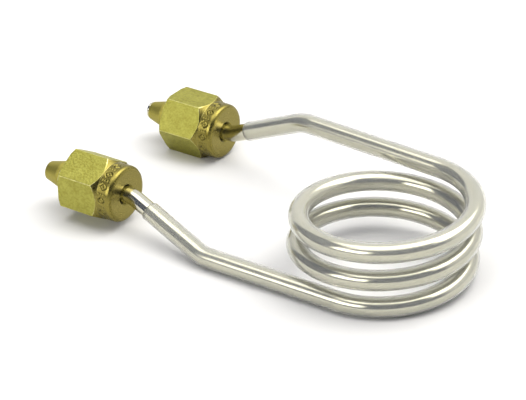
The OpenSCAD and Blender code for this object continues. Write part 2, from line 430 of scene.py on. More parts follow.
class Sheet:
    """Adds and joins the nodes of one node tree."""

    def __init__(self, tree: bpy.types.NodeTree) -> None:
        """Starts on a tree."""
        self.tree = tree

    def join(self, node: bpy.types.Node, inputs: dict[str | int, object]) -> None:
        """Joins sockets to a node's inputs, or sets the inputs to plain values.

        Args:
            node: the node.
            inputs: values or sockets by the input's name or number.
        """
        for key, value in inputs.items():
            if isinstance(value, bpy.types.NodeSocket):
                self.tree.links.new(value, node.inputs[key])
            else:
                node.inputs[key].default_value = value

    def add(self, kind: str, inputs: dict | None = None, **settings: object) -> bpy.types.Node:
        """Adds a node.

        Args:
            kind: the node's type name, without its ShaderNode prefix.
            inputs: values or sockets by the input's name or number.
            settings: properties of the node.

        Returns:
            The new node.
        """
        node = self.tree.nodes.new("ShaderNode" + kind)
        for key, value in settings.items():
            setattr(node, key, value)
        self.join(node, inputs or {})
        return node

    def math(self, operation: str, *values: object, clamp: bool = False) -> bpy.types.NodeSocket:
        """One sum on values or sockets."""
        inputs = dict(enumerate(values))
        return self.add("Math", inputs, operation=operation, use_clamp=clamp).outputs[0]

    def product(self, *values: object) -> bpy.types.NodeSocket:
        """Values or sockets multiplied together."""
        return reduce(lambda first, second: self.math("MULTIPLY", first, second), values)

    def between(
        self, value: object, low: float, high: float, to_low: float = 0.0, to_high: float = 1.0
    ) -> bpy.types.NodeSocket:
        """Takes the range low to high smoothly to the range to_low to to_high.

        Args:
            value: the value or socket that is taken.
            low: the range's lower end.
            high: the range's upper end.
            to_low: what the lower end and all below it becomes.
            to_high: what the upper end and all above it becomes.

        Returns:
            The socket with the new value.
        """
        inputs = {
            "Value": value,
            "From Min": low,
            "From Max": high,
            "To Min": to_low,
            "To Max": to_high,
        }
        return self.add("MapRange", inputs, interpolation_type="SMOOTHSTEP").outputs[0]

    def blend(self, share: object, first: object, second: object) -> bpy.types.NodeSocket:
        """First colour where share is nothing, second where it is one."""
        inputs = {0: share, 6: first, 7: second}
        return self.add("Mix", inputs, data_type="RGBA", clamp_factor=True).outputs[2]

    def mark(self, name: str) -> bpy.types.NodeSocket:
        """Reads a one-number attribute of the piece."""
        return self.add("Attribute", attribute_name=name).outputs["Fac"]

    def lay(self) -> bpy.types.NodeSocket:
        """Reads the piece's unrolled place."""
        return self.add("Attribute", attribute_name="lay").outputs["Vector"]

    def stretched(self, stretch: tuple[float, float, float]) -> bpy.types.NodeSocket:
        """Reads the piece's unrolled place, scaled along each axis."""
        return self.add("Mapping", {"Vector": self.lay(), "Scale": stretch}).outputs[0]

    def group(self, tree: bpy.types.NodeTree, inputs: dict) -> bpy.types.NodeOutputs:
        """Places a shared effect.

        Args:
            tree: the effect's node group.
            inputs: values or sockets by the input's name.

        Returns:
            The placed group's outputs.
        """
        node = self.tree.nodes.new("ShaderNodeGroup")
        node.node_tree = tree
        self.join(node, inputs)
        return node.outputs


@dataclass
class Effects:
    """Node groups that more than one material uses, each built once.

    A range is the stretch of a noise that is spread out to nothing to one.
    """

    grain_range: tuple[float, float] = (0.3, 0.7)
    line_range: tuple[float, float] = (0.25, 0.75)
    gap_range: tuple[float, float] = (0.35, 0.6)
    gap_fineness: float = 1.7
    made: dict[str, bpy.types.NodeTree] = field(default_factory=dict)

    def _start(
        self, name: str, inputs: dict[str, object], outputs: tuple[str, ...]
    ) -> tuple[Sheet, bpy.types.Node, bpy.types.Node]:
        """Makes an empty group with named inputs and outputs.

        Args:
            name: the group's name.
            inputs: each input's starting value, a number or "vector".
            outputs: names of the number outputs.

        Returns:
            The group's sheet, its input node and its output node.
        """
        tree = bpy.data.node_groups.new(name, "ShaderNodeTree")
        for key, value in inputs.items():
            kind = "NodeSocketVector" if value == "vector" else "NodeSocketFloat"
            socket = tree.interface.new_socket(key, in_out="INPUT", socket_type=kind)
            if value != "vector":
                socket.default_value = value
        for key in outputs:
            tree.interface.new_socket(key, in_out="OUTPUT", socket_type="NodeSocketFloat")
        self.made[name] = tree
        sheet = Sheet(tree)
        into = tree.nodes.new("NodeGroupInput")
        out = tree.nodes.new("NodeGroupOutput")
        return sheet, into, out

    def grain(self) -> bpy.types.NodeTree:
        """Fine grain and broad patches, from two noises of the same vector.

        Inputs are the vector, the grain's fineness and the patches' fineness. Outputs are the
        grain and the patches, each about nothing to one.

        Returns:
            The node group.
        """
        if "grain" in self.made:
            return self.made["grain"]
        inputs = {"Vector": "vector", "Fineness": 9.0, "Patch fineness": 0.6}
        sheet, into, out = self._start("grain", inputs, ("Grain", "Patches"))
        for output, scale, detail in (("Grain", 1, 4.0), ("Patches", 2, 2.0)):
            noise = sheet.add(
                "TexNoise",
                {"Vector": into.outputs[0], "Scale": into.outputs[scale], "Detail": detail},
            )
            sheet.join(out, {output: sheet.between(noise.outputs[0], *self.grain_range)})
        return self.made["grain"]

    def tool_lines(self) -> bpy.types.NodeTree:
        """Lines that a tool leaves across one length, as a noise of that length alone.

        Inputs are the length in millimetres and the lines to a millimetre. The output is the
        lines' height, about nothing to one.

        Returns:
            The node group.
        """
        if "tool lines" in self.made:
            return self.made["tool lines"]
        inputs = {"Length": 0.0, "Lines": 6.0}
        sheet, into, out = self._start("tool lines", inputs, ("Height",))
        place = sheet.product(into.outputs[0], into.outputs[1])
        noise = sheet.add(
            "TexNoise", {"W": place, "Scale": 1.0, "Detail": 3.0}, noise_dimensions="1D"
        )
        sheet.join(out, {0: sheet.between(noise.outputs[0], *self.line_range)})
        return self.made["tool lines"]

    def worn_edge_highlight(self) -> bpy.types.NodeTree:
        """Where an edge is worn bright, which also paints a highlight: the edge mark, broken up by
        a noise.

        Inputs are the edge mark, the vector and how broken the edge is. The output is the mask.

        Returns:
            The node group.
        """
        if "worn edge" in self.made:
            return self.made["worn edge"]
        inputs = {"Edge": 0.0, "Vector": "vector", "Broken": 0.5}
        sheet, into, out = self._start("worn edge", inputs, ("Mask",))
        inputs = {"Vector": into.outputs[1], "Scale": self.gap_fineness, "Detail": 3.0}
        noise = sheet.add("TexNoise", inputs)
        gaps = sheet.product(sheet.between(noise.outputs[0], *self.gap_range), into.outputs[2])
        kept = sheet.math("SUBTRACT", 1.0, gaps)
        mask = sheet.math("MULTIPLY", into.outputs[0], kept, clamp=True)
        sheet.join(out, {0: mask})
        return self.made["worn edge"]


# ---------------------------------------------------------------------------------------------
# Finishes


def new_material(name: str) -> tuple[bpy.types.Material, Sheet, bpy.types.Node]:
    """Makes a material with only a Principled shader joined to its output.

    Args:
        name: the material's name.

    Returns:
        The material, its node sheet and its shader.
    """
    material = bpy.data.materials.new(name)
    material.use_nodes = True
    tree = material.node_tree
    tree.nodes.clear()
    sheet = Sheet(tree)
    shader = sheet.add("BsdfPrincipled")
    sheet.add("OutputMaterial", {"Surface": shader.outputs[0]})
    return material, sheet, shader


def rgba(colour: Colour, tone: float = 1.0) -> tuple[float, float, float, float]:
    """A colour made darker by a tone, with full cover."""
    return (*(part * tone for part in colour), 1.0)


@dataclass(frozen=True)
class Brass:
    """Plain brass: drawn grain on flats and tool lines on turned faces."""

    name: str
    light: Colour
    dark: Colour
    # Colour of worn edges, also a painted highlight.
    rubbed_highlight: Colour
    turned: Colour
    flat_roughness: float = 0.44
    turned_roughness: float = 0.22
    grain_stretch: tuple[float, float, float] = (0.8, 1.0, 1.0)
    grain_fineness: float = 2.8
    patch_fineness: float = 0.5
    grain_tone: float = 0.7
    grain_height: float = 0.045
    grain_rough: float = 0.10
    lines: float = 7.0
    line_tone: float = 0.8
    line_height: float = 0.010
    line_rough: float = 0.08
    # Painted shade in the stamped marks and the hollow: its tone and how much of it shows.
    shaded_tone: float = 0.25
    stamp_shade_cover: float = 0.5
    hollow_shade_cover: float = 0.55
    worn_highlight_cover: float = 0.8
    worn_polish: float = 0.15
    worn_broken: float = 0.6
    bump: float = 0.6

    def material(self, effects: Effects) -> bpy.types.Material:
        """Builds the material.

        The colour goes from dark to light by patches and grain. Painted shade darkens the stamped
        marks and the hollow, and worn edges take a brighter colour that is also a painted
        highlight.
        Roughness is lower where the piece was turned. Bump is grain on flats and tool lines on
        turned faces, in millimetres of height.

        Args:
            effects: the shared node groups.

        Returns:
            The material.
        """
        material, sheet, shader = new_material(self.name)
        turned = sheet.mark("turned")
        grain = sheet.group(
            effects.grain(),
            {
                "Vector": sheet.stretched(self.grain_stretch),
                "Fineness": self.grain_fineness,
                "Patch fineness": self.patch_fineness,
            },
        )
        length = sheet.mark("run")
        lines = sheet.group(effects.tool_lines(), {"Length": length, "Lines": self.lines})
        # Worn edges, whose brighter colour is also a painted highlight.
        worn = sheet.group(
            effects.worn_edge_highlight(),
            {"Edge": sheet.mark("edge"), "Vector": sheet.lay(), "Broken": self.worn_broken},
        )
        patches = sheet.product(grain[1], 1.0 - self.grain_tone)
        tone = sheet.math("MULTIPLY_ADD", grain[0], self.grain_tone, patches)
        colour = sheet.blend(tone, rgba(self.dark), rgba(self.light))
        scored = rgba(self.turned, self.line_tone)
        colour = sheet.blend(turned, colour, sheet.blend(lines[0], scored, rgba(self.turned)))
        # Painted shade in the stamped marks and the hollow; worn edges take a colour that is also a
        # painted highlight.
        for share, cover, over in (
            (sheet.mark("stamped"), self.stamp_shade_cover, rgba(self.dark, self.shaded_tone)),
            (sheet.mark("hollow"), self.hollow_shade_cover, rgba(self.dark, self.shaded_tone)),
            (worn[0], self.worn_highlight_cover, rgba(self.rubbed_highlight)),
        ):
            colour = sheet.blend(sheet.product(share, cover), colour, over)
        rough = sheet.between(turned, 0.0, 1.0, self.flat_roughness, self.turned_roughness)
        rough = sheet.math("MULTIPLY_ADD", grain[0], self.grain_rough, rough)
        scratched = sheet.product(turned, self.line_rough)
        rough = sheet.math("MULTIPLY_ADD", lines[0], scratched, rough)
        rough = sheet.math("MULTIPLY_ADD", worn[0], -self.worn_polish, rough, clamp=True)
        flat = sheet.math("SUBTRACT", 1.0, turned)
        height = sheet.product(grain[0], sheet.product(flat, self.grain_height))
        cut = sheet.product(turned, self.line_height)
        height = sheet.math("MULTIPLY_ADD", lines[0], cut, height)
        bump = sheet.add("Bump", {"Height": height, "Distance": MM, "Strength": self.bump})
        inputs = {"Base Color": colour, "Roughness": rough, "Normal": bump.outputs[0]}
        sheet.join(shader, {"Metallic": 1.0, **inputs})
        return material


@dataclass(frozen=True)
class DrawnTube:
    """Bright drawn tube: fine lines along it, and painted shade in the bore that fades out over the
    cut ends.
    """

    name: str = "bright_drawn_tube"
    light: Colour = (0.77, 0.75, 0.63)
    dark: Colour = (0.71, 0.69, 0.57)
    # Painted shade in the bore.
    bore: Colour = (0.20, 0.19, 0.17)
    roughness: float = 0.13
    stretch: tuple[float, float, float] = (0.025, 1.0, 1.0)
    line_fineness: float = 9.0
    patch_fineness: float = 0.8
    line_tone: float = 0.3
    patch_tone: float = 0.5
    line_rough: float = 0.06
    bore_rough: float = 0.3
    line_height: float = 0.0003
    bump: float = 0.5

    def material(self, effects: Effects) -> bpy.types.Material:
        """Builds the material.

        Drawn lines are the shared grain of the unrolled tube, stretched forty times along it.
        They change the colour and the roughness a little and give a slight bump.

        Args:
            effects: the shared node groups.

        Returns:
            The material.
        """
        material, sheet, shader = new_material(self.name)
        lines = sheet.group(
            effects.grain(),
            {
                "Vector": sheet.stretched(self.stretch),
                "Fineness": self.line_fineness,
                "Patch fineness": self.patch_fineness,
            },
        )
        patches = sheet.product(lines[1], self.patch_tone)
        tone = sheet.math("MULTIPLY_ADD", lines[0], self.line_tone, patches)
        colour = sheet.blend(tone, rgba(self.dark), rgba(self.light))
        # Painted shade in the bore and the inner rim of the cut ends.
        hollow = sheet.mark("hollow")
        colour = sheet.blend(hollow, colour, rgba(self.bore))
        rough = sheet.math("MULTIPLY_ADD", lines[0], self.line_rough, self.roughness)
        rough = sheet.math("MULTIPLY_ADD", hollow, self.bore_rough, rough, clamp=True)
        height = sheet.product(lines[0], self.line_height)
        bump = sheet.add("Bump", {"Height": height, "Distance": MM, "Strength": self.bump})
        inputs = {"Base Color": colour, "Roughness": rough, "Normal": bump.outputs[0]}
        sheet.join(shader, {"Metallic": 1.0, **inputs})
        return material


@dataclass(frozen=True)
class MilkyPlastic:
    """Clear plastic with a slight milk, a soft gloss, and painted shade at the cut ends."""

    name: str = "milky_clear_plastic"
    clear: Colour = (0.95, 0.95, 0.905)
    milky: Colour = (0.90, 0.905, 0.87)
    # Painted shade at the cut ends.
    cut: Colour = (0.62, 0.62, 0.57)
    transmission: float = 0.88
    ior: float = 1.42
    roughness: float = 0.05
    stretch: tuple[float, float, float] = (0.12, 1.0, 1.0)
    grain_fineness: float = 4.0
    patch_fineness: float = 0.45
    patch_rough: float = 0.03
    grain_rough: float = 0.02
    grain_height: float = 0.0006
    bump: float = 0.4

    def material(self, effects: Effects) -> bpy.types.Material:
        """Builds the material.

        Patches of the unrolled sleeve go from clear to milky, and painted shade darkens the cut
        ends.
        Roughness and bump follow the patches and a fine grain stretched along the sleeve.

        Args:
            effects: the shared node groups.

        Returns:
            The material.
        """
        material, sheet, shader = new_material(self.name)
        grain = sheet.group(
            effects.grain(),
            {
                "Vector": sheet.stretched(self.stretch),
                "Fineness": self.grain_fineness,
                "Patch fineness": self.patch_fineness,
            },
        )
        colour = sheet.blend(grain[1], rgba(self.clear), rgba(self.milky))
        # Painted shade at the cut ends.
        colour = sheet.blend(sheet.mark("cut"), colour, rgba(self.cut))
        rough = sheet.math("MULTIPLY_ADD", grain[1], self.patch_rough, self.roughness)
        rough = sheet.math("MULTIPLY_ADD", grain[0], self.grain_rough, rough)
        height = sheet.product(grain[0], self.grain_height)
        bump = sheet.add("Bump", {"Height": height, "Distance": MM, "Strength": self.bump})
        inputs = {"Base Color": colour, "Roughness": rough, "Normal": bump.outputs[0]}
        sheet.join(shader, {"Transmission Weight": self.transmission, "IOR": self.ior, **inputs})
        return material


@dataclass(frozen=True)
class PaleFloor:
    """White board with a faint unevenness, which metal and plastic mirror as a mid grey."""

    name: str = "pale_floor"
    colour: Colour = (0.75, 0.75, 0.755)
    other: Colour = (0.73, 0.73, 0.74)
    mirrored: Colour = (0.67, 0.67, 0.66)
    patches: float = 9.0
    roughness: float = 0.85
    specular: float = 0.1

    def material(self) -> bpy.types.Material:
        """Builds the material.

        The camera sees two near whites mixed by a broad noise of the floor's place. Other rays
        see the mirrored grey.

        Returns:
            The material.
        """
        material, sheet, shader = new_material(self.name)
        place = sheet.add("TexCoord").outputs["Object"]
        noise = sheet.add("TexNoise", {"Vector": place, "Scale": self.patches, "Detail": 2.0})
        colour = sheet.blend(noise.outputs[0], rgba(self.colour), rgba(self.other))
        seen = sheet.add("LightPath").outputs["Is Camera Ray"]
        colour = sheet.blend(seen, rgba(self.mirrored), colour)
        inputs = {"Base Color": colour, "Roughness": self.roughness}
        sheet.join(shader, {"Specular IOR Level": self.specular, **inputs})
        return material


# ---------------------------------------------------------------------------------------------
# Sub-assemblies

Finish = Brass | DrawnTube | MilkyPlastic


@dataclass
class Dresser:
    """Gives a finished piece its material, its body and the CAD node it stands for."""

    effects: Effects
    ready: dict[str, bpy.types.Material] = field(default_factory=dict)

    def dress(
        self, piece: bpy.types.Object, finish: Finish, body: Body, node: str
    ) -> None:
        """Dresses one piece; a finish that was used before is not built again.

        Args:
            piece: the piece.
            finish: what it is made of.
            body: the body it rides on.
            node: the CAD node that it stands for.
        """
        if finish.name not in self.ready:
            self.ready[finish.name] = finish.material(self.effects)
        piece.data.materials.append(self.ready[finish.name])
        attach(piece, body.value)
        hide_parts(node)
        LOG.info("%s: %d faces, rides on %s", piece.name, len(piece.data.polygons), body.value)


def lay_mark(along: np.ndarray, radius: np.ndarray, angles: np.ndarray) -> np.ndarray:
    """Place of each point with its path unrolled straight: along, and radius by cosine and sine."""
    return np.stack([along, radius * np.cos(angles), radius * np.sin(angles)], axis=-1)


@dataclass
class SleevedTube:
    """The wound tube and the clear sleeve on it."""

    tube_r: float = 1.5875
    bore_r: float = 0.8775
    sleeve_r: float = 1.8875
    back_bare: float = 5.4
    front_bare: float = 5.0
    air_gap: float = 0.03
    columns: int = 40
    spacing: float = 0.6
    end_cut: float = 0.07
    sleeve_cut: float = 0.05
    wobble: float = 0.012
    slant: float = 0.10
    slant_turns: tuple[float, float] = (-0.8, 0.5)
    long_wave: float = 0.43
    short_wave: float = 1.13
    short_share: float = 0.6
    twist: float = 0.11

    def build(self, dresser: Dresser) -> None:
        """Builds and dresses the tube and the sleeve.

        The line starts at the tube's own back end, which stands out of the cone.

        Args:
            dresser: gives the pieces their finish and their body.
        """
        back = Axis.of_node("back_cone_ferrule")
        back.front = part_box("coil_tube")[0].x / MM
        route = Route(back, Axis.of_node("front_cone_ferrule"))
        angles = round_columns(self.columns)
        self._tube(route, angles, dresser)
        self._sleeve(route, angles, dresser)

    def _tube(self, route: Route, angles: np.ndarray, dresser: Dresser) -> None:
        """The tube: outside, cut end, bore and cut end, with small rounded edges.

        Args:
            route: the tube's middle line.
            angles: one angle for each column, in radians.
            dresser: gives the piece its finish and its body.
        """
        last = route.length
        ends = [(0, self.bore_r), (0, self.tube_r), (last, self.tube_r), (last, self.bore_r)]
        loop, edge = rounded(even_loop(ends, self.columns), np.full(4, self.end_cut), 4)
        loop, edge = filled(loop, edge, self.spacing)
        along, radius = loop[..., 0], loop[..., 1]
        # Painted shade in the bore, fading out over the cut ends.
        hollow = 1.0 - smooth_step(radius, self.bore_r + 0.02, self.bore_r + 0.2)
        marks = {"lay": lay_mark(along, radius, angles), "hollow": hollow}
        piece = write_piece("bright_tube", route.carry(loop, angles), marks)
        dresser.dress(piece, DrawnTube(), Body.COIL, "coil_tube")

    def _sleeve(self, route: Route, angles: np.ndarray, dresser: Dresser) -> None:
        """The sleeve: a thin shell on the tube, cut off a little aslant at both ends.

        Its outer radius wavers by two sines of the length and a cosine of the doubled angle,
        which turns slowly with the length.

        Args:
            route: the tube's middle line.
            angles: one angle for each column, in radians.
            dresser: gives the piece its finish and its body.
        """
        inner = self.tube_r + self.air_gap
        first = route.near(route.back_corner_x, route.back.y) + self.back_bare
        last = route.near(route.front_corner_x, route.front.y) - self.front_bare
        ends = [(first, inner), (first, self.sleeve_r), (last, self.sleeve_r), (last, inner)]
        loop = even_loop(ends, self.columns)
        loop[:2, :, 0] += self.slant * np.cos(angles + self.slant_turns[0])
        loop[2:, :, 0] += self.slant * np.cos(angles + self.slant_turns[1])
        loop, edge = rounded(loop, np.full(4, self.sleeve_cut), 3)
        loop, edge = filled(loop, edge, self.spacing)
        along, radius = loop[..., 0], loop[..., 1]
        outside = smooth_step(radius, inner, self.sleeve_r)
        waver = np.sin(along * self.long_wave)
        waver = waver + self.short_share * np.sin(along * self.short_wave + 2.0)
        waver = waver + np.cos(2 * angles + along * self.twist)
        most = 2.0 + self.short_share
        loop[..., 1] -= self.wobble * outside * (1.0 + waver / most) / 2
        # Painted shade near the cut ends.
        near_end = np.minimum(np.abs(along - first), np.abs(along - last))
        cut = 1.0 - smooth_step(near_end, self.slant, self.slant + 0.1)
        marks = {"lay": lay_mark(along, radius, angles), "cut": cut}
        piece = write_piece("clear_sleeve_shell", route.carry(loop, angles), marks)
        dresser.dress(piece, MilkyPlastic(), Body.COIL, "clear_sleeve")


# In both brasses the worn edge colour is also a painted highlight.
NUT_BRASS = Brass(
    name="nut_brass",
    light=(0.48, 0.46, 0.108),
    dark=(0.31, 0.29, 0.054),
    rubbed_highlight=(0.92, 0.89, 0.42),
    turned=(0.29, 0.245, 0.06),
)
FERRULE_BRASS = Brass(
    name="ferrule_brass",
    light=(0.46, 0.41, 0.095),
    dark=(0.32, 0.28, 0.055),
    rubbed_highlight=(0.70, 0.64, 0.28),
    turned=(0.44, 0.385, 0.085),
    turned_roughness=0.42,
)


@dataclass
class CouplingNut:
    """A hexagon nut with a round collar, a threaded hollow and a ring of stamped marks."""

    name: str
    node: str
    body: Body
    facet_angle: float
    across_flats: float = 11.11
    hex_length: float = 7.9
    length: float = 11.9
    neck: float = 8.9
    collar_r: float = 5.45
    collar_edge: float = 0.9
    chamfer_angle: float = 30.0
    front_share: float = 0.91
    bore_r: float = 1.6675
    sink_r: float = 2.1
    seat_r: float = 2.73
    seat_end: float = 8.77
    slope_end: float = 7.67
    core_r: float = 3.4
    thread_end: float = 7.0
    mouth: float = 0.7
    thread_pitch: float = 1.06
    thread_height: float = 0.5
    thread_blunt: float = 1.15
    thread_slope: float = 2.6
    arris: float = 0.12
    spacing: float = 0.11
    coarse: float = 0.4
    stamps: int = 26
    stamp_depth: float = 0.14
    stamp_half: float = 0.95
    stamp_shift: float = 0.1
    ring_at: float = 0.8
    ring_half: float = 0.20
    dot_r: float = 0.22
    row_gap: float = 0.55
    row_dot_r: float = 0.17
    axis: Axis = field(init=False)
    corner_r: float = field(init=False)

    def __post_init__(self) -> None:
        """Finds the nut's axis from its CAD node, and the radius to the hexagon's corners."""
        self.axis = Axis.of_node(self.node)
        self.corner_r = self.across_flats / 2 / math.cos(math.pi / 6)

    def _hexagon(self) -> tuple[np.ndarray, np.ndarray, np.ndarray]:
        """Lays the columns out round the hexagon, its six corners rounded.

        Returns:
            Each column's angle, its radius, and how far into a rounded corner it stands.
        """
        at = np.radians(self.facet_angle + 30 + 60 * np.arange(6))
        corners = self.corner_r * np.stack([np.cos(at), np.sin(at)], axis=-1)[:, None]
        outline, bend = rounded(corners, np.full(6, self.arris), 4)
        outline, bend = filled(outline, bend, self.spacing)
        outline = outline[:, 0]
        return np.arctan2(outline[:, 1], outline[:, 0]), np.hypot(*outline.T), bend

    def _corners(self, hex_r: np.ndarray) -> tuple[np.ndarray, np.ndarray]:
        """Profile corners in every column, and how far each is rounded.

        The front chamfer's cone meets the hexagon where the radius past the front circle, times
        the tangent of its angle, gives the length. The slope behind the hexagon falls evenly
        from the corner circle to the collar.

        Args:
            hex_r: the hexagon's radius in each column.

        Returns:
            The corners, (corners, columns, 2), and how far each is cut back.
        """
        front_r = self.corner_r * self.front_share
        least = 0.06
        past = np.maximum(hex_r - front_r, 0.0)
        front = np.minimum(hex_r - least, front_r)
        chamfer = past * math.tan(math.radians(self.chamfer_angle)) + least
        fall = (self.neck - self.hex_length) / (self.corner_r - self.collar_r)
        back = self.hex_length + (self.corner_r - hex_r) * fall
        same = np.ones_like(hex_r)
        table = [
            (0 * same, (self.core_r + self.mouth) * same, 0.05),
            (0 * same, front, 0.03),
            (chamfer, hex_r, self.arris),
            (back, hex_r, self.arris),
            (self.neck * same, self.collar_r * same, 0.06),
            (self.length * same, self.collar_r * same, self.collar_edge),
            (self.length * same, self.sink_r * same, 0.06),
            ((self.length + self.bore_r - self.sink_r) * same, self.bore_r * same, 0.05),
            (self.seat_end * same, self.bore_r * same, 0.04),
            (self.seat_end * same, self.seat_r * same, 0.04),
            (self.slope_end * same, self.seat_r * same, 0.04),
            (self.thread_end * same, self.core_r * same, 0.04),
            (self.mouth * same, self.core_r * same, 0.04),
        ]
        corners = np.array([np.stack([x, r], axis=-1) for x, r, _ in table])
        return corners, np.array([cut for _, _, cut in table])

    def _thread(self, along: np.ndarray, angles: np.ndarray) -> np.ndarray:
        """Cuts the thread: a blunt triangle wave of length over pitch, less the turns.

        Args:
            along: each point's distance from the nut's front.
            angles: one angle for each column, in radians.

        Returns:
            How deep the groove is at each point, (rows, columns).
        """
        phase = (along / self.thread_pitch - angles / (2 * math.pi)) % 1.0
        groove = np.clip(self.thread_blunt - np.abs(phase - 0.5) * self.thread_slope, 0.0, 1.0)
        begin = smooth_step(along, self.mouth + 0.05, self.mouth + 0.5)
        end = 1.0 - smooth_step(along, self.thread_end - 0.9, self.thread_end - 0.1)
        return self.thread_height * groove * begin * end

    def _stamps(self, along: np.ndarray, angles: np.ndarray) -> np.ndarray:
        """How deep each point is stamped, nothing to one.

        The collar is shared out in equal places. Each holds a diamond's outline with a dot in
        it, or three dots in a row, by turns. A diamond's measure is the sum of the two distances
        from its middle over its half length.

        Args:
            along: each point's distance from the nut's front.
            angles: one angle for each column, in radians.

        Returns:
            The share of the full depth at each point, (rows, columns).
        """
        middle = (self.neck + self.length - self.collar_edge) / 2 + self.stamp_shift
        place = angles / (2 * math.pi) * self.stamps
        number = np.floor(place)
        across = (place - number - 0.5) * 2 * math.pi * self.collar_r / self.stamps
        up = along - middle
        measure = np.abs(across) / self.stamp_half + np.abs(up) / self.stamp_half
        ring = smooth_step(self.ring_half - np.abs(measure - self.ring_at), 0.0, 0.12)
        dot = smooth_step(self.dot_r - np.hypot(across, up), 0.0, 0.1)
        rows = np.abs(np.abs(up) - self.row_gap * (np.abs(up) > 0.27))
        dots = smooth_step(self.row_dot_r - np.hypot(across, rows), 0.0, 0.08)
        return np.where(number % 2 == 0, np.maximum(ring, dot), dots)

    def _profile(self, hex_r: np.ndarray) -> tuple[np.ndarray, np.ndarray]:
        """Rounds and fills the profile, with close rows only where stamps or thread need them.

        Args:
            hex_r: the hexagon's radius in each column.

        Returns:
            The loop, (rows, columns, 2), and how far into a rounded edge each row stands.
        """
        corners, cuts = self._corners(hex_r)
        loop, edge = rounded(corners, cuts, 5)
        along, radius = loop.mean(axis=1).T
        near = 0.1
        stamped = (radius > self.collar_r - near) & (along > self.neck - near)
        threaded = (np.abs(radius - self.core_r) < near) & (along < self.thread_end + near)
        return filled(loop, edge, np.where(stamped | threaded, self.spacing, self.coarse))

    def _collar_share(self, along: np.ndarray) -> np.ndarray:
        """How far each point lies on the collar's straight stretch, faded at its two ends.

        Args:
            along: each point's distance from the nut's front.

        Returns:
            The share, nothing to one.
        """
        rim = self.length - self.collar_edge
        fade_in = smooth_step(along, self.neck + 0.1, self.neck + 0.3)
        return fade_in * (1 - smooth_step(along, rim, rim + 0.15))

    def _hollow_shade(self, along: np.ndarray, radius: np.ndarray) -> np.ndarray:
        """How far each point lies in the hollow in front, or in the sink behind, where shade is
        painted.

        Args:
            along: each point's distance from the nut's front.
            radius: each point's distance from the nut's axis.

        Returns:
            The share, nothing to one.
        """
        hollow = 1.0 - smooth_step(radius, self.core_r + 0.1, self.core_r + 0.7)
        sunk = 1.0 - smooth_step(radius, self.sink_r - 0.25, self.sink_r - 0.02)
        return np.where(along < self.length - 0.6, hollow, sunk)

    def build(self, dresser: Dresser) -> None:
        """Builds and dresses the nut.

        Args:
            dresser: gives the piece its finish and its body.
        """
        angles, hex_r, corner = self._hexagon()
        loop, edge = self._profile(hex_r)
        along, radius = loop[..., 0].copy(), loop[..., 1].copy()
        run = loop_run(loop).mean(axis=1)
        outer = radius > self.collar_r - 0.02
        on_hex = outer & (radius > hex_r - 0.02) & (along < self.neck - 0.02)
        on_collar = outer & (along > self.neck + 0.05)
        in_core = (np.abs(radius - self.core_r) < 0.01) & (along < self.thread_end)
        stamp = self._stamps(along, angles) * on_collar * self._collar_share(along)
        loop[..., 1] += self._thread(along, angles) * in_core - self.stamp_depth * stamp
        rim = edge[:, None] * np.where(np.abs(radius - self.collar_r) < 0.5, 0.25, 1.0) * outer
        marks = {
            "lay": lay_mark(along, radius, angles),
            "run": np.repeat(run[:, None], len(angles), axis=1),
            # Worn edges, whose brighter colour is also a painted highlight.
            "edge": np.maximum(rim, corner[None] * on_hex),
            "turned": 1.0 - on_hex,
            # Painted shade in the stamps.
            "stamped": stamp,
            # Painted shade in the hollow and the sink.
            "hollow": self._hollow_shade(along, radius),
        }
        piece = write_piece(self.name, self.axis.carry(loop, angles), marks)
        dresser.dress(piece, NUT_BRASS, self.body, self.node)


@dataclass
class TurnedRing:
    """A small turned piece on a nut's axis, given by its profile from its front end."""

    name: str
    node: str
    body: Body
    profile: list[tuple[float, float]]
    cuts: list[float]
    bore: tuple[float, float] = (1.66, 1.75)
    groove: float = 0.006
    waves: tuple[float, float] = (31.0, 47.0)
    second_share: float = 0.7
    # How much the worn edges, also a painted highlight, show.
    worn_highlight_share: float = 0.6
    columns: int = 96
    spacing: float = 0.09

    def build(self, dresser: Dresser) -> None:
        """Builds and dresses the piece, with shallow grooves that a tool left round it.

        Their depth is two sines of the length, faded out towards the bore.

        Args:
            dresser: gives the piece its finish and its body.
        """
        angles = round_columns(self.columns)
        loop, edge = rounded(even_loop(self.profile, self.columns), np.array(self.cuts), 4)
        loop, edge = filled(loop, edge, self.spacing, 0.04)
        along, radius = loop[..., 0].copy(), loop[..., 1].copy()
        outside = smooth_step(radius, *self.bore)
        first, second = self.waves
        waves = np.sin(along * first) + self.second_share * np.sin(along * second + 1.0)
        most = 1.0 + self.second_share
        loop[..., 1] -= self.groove * outside * (1 + waves / most) / 2
        marks = {
            "lay": lay_mark(along, radius, angles),
            "run": loop_run(loop),
            # Worn edges, also a painted highlight.
            "edge": np.repeat(edge[:, None], self.columns, axis=1) * outside * self.worn_highlight_share,
            "turned": np.ones_like(radius),
            "stamped": np.zeros_like(radius),
            # Painted shade in the bore.
            "hollow": 1.0 - outside,
        }
        piece = write_piece(self.name, Axis.of_node(self.node).carry(loop, angles), marks)
        dresser.dress(piece, FERRULE_BRASS, self.body, self.node)


